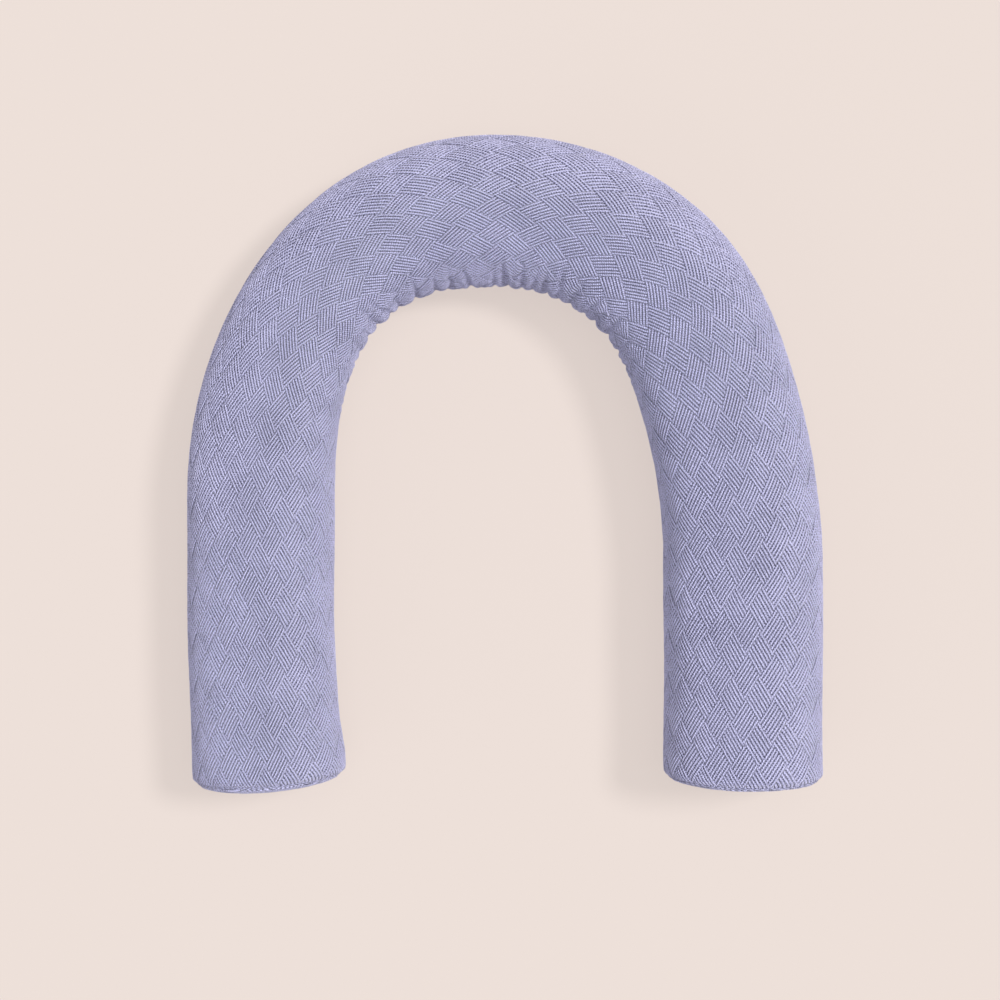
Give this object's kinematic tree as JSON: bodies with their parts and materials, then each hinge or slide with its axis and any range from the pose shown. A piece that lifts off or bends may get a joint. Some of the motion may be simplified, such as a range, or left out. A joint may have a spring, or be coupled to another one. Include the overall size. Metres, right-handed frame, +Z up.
{
  "type": "nursing pillow",
  "caption": "U-shaped nursing pillow: a soft round bolster bent around the waist, with a zipped jacquard knit cover, flat round ends and a filled liner.",
  "frame": {"origin": "on the surface the pillow lies on, under the middle of its outline", "axes": "+Z up out of the surface, +Y from the open ends of the legs towards the crown of the U, +X to the right seen from above with the crown away"},
  "size_m": [0.6984, 0.7226, 0.168],
  "materials": {
    "cover_knit": "matte",
    "liner_cloth": "matte",
    "filling_beads": "matte",
    "zip_tape": "matte",
    "zip_coil": "satin",
    "zip_metal": "satin"
  },
  "bodies": {
    "left_half": {"cover_tube_left": "cover_knit", "cover_end_left": "cover_knit", "liner_tube_left": "liner_cloth", "liner_end_left": "liner_cloth", "filling_left": "filling_beads"},
    "right_half": {"cover_tube_right": "cover_knit", "cover_end_right": "cover_knit", "liner_tube_right": "liner_cloth", "liner_end_right": "liner_cloth", "filling_right": "filling_beads", "zip_tape_lower": "zip_tape", "zip_tape_upper": "zip_tape", "zip_coil_lower": "zip_coil", "zip_coil_upper": "zip_coil", "zip_top_stop_lower": "zip_metal", "zip_top_stop_upper": "zip_metal", "zip_bottom_stop": "zip_metal"},
    "slider": {"zip_slider": "zip_metal"},
    "pull_tab": {"zip_pull_tab": "zip_metal"}
  },
  "joints": [
    {"name": "crown_flex", "type": "hinge", "parent": "left_half", "child": "right_half", "pos_m": [-0.00325, 0.27865, 0.0775], "axis": [0, 0, 1], "range_deg": [-20, 30]},
    {"name": "zip_slide", "type": "slide", "parent": "right_half", "child": "slider", "axis": [0, 1, 0], "range_m": [0, 0.191]},
    {"name": "pull_tab_swing", "type": "hinge", "parent": "slider", "child": "pull_tab", "pos_m": [0.33214, -0.31155, 0.02825], "axis": [-0.6088, 0, -0.7934], "range_deg": [-85, 85]}
  ]
}
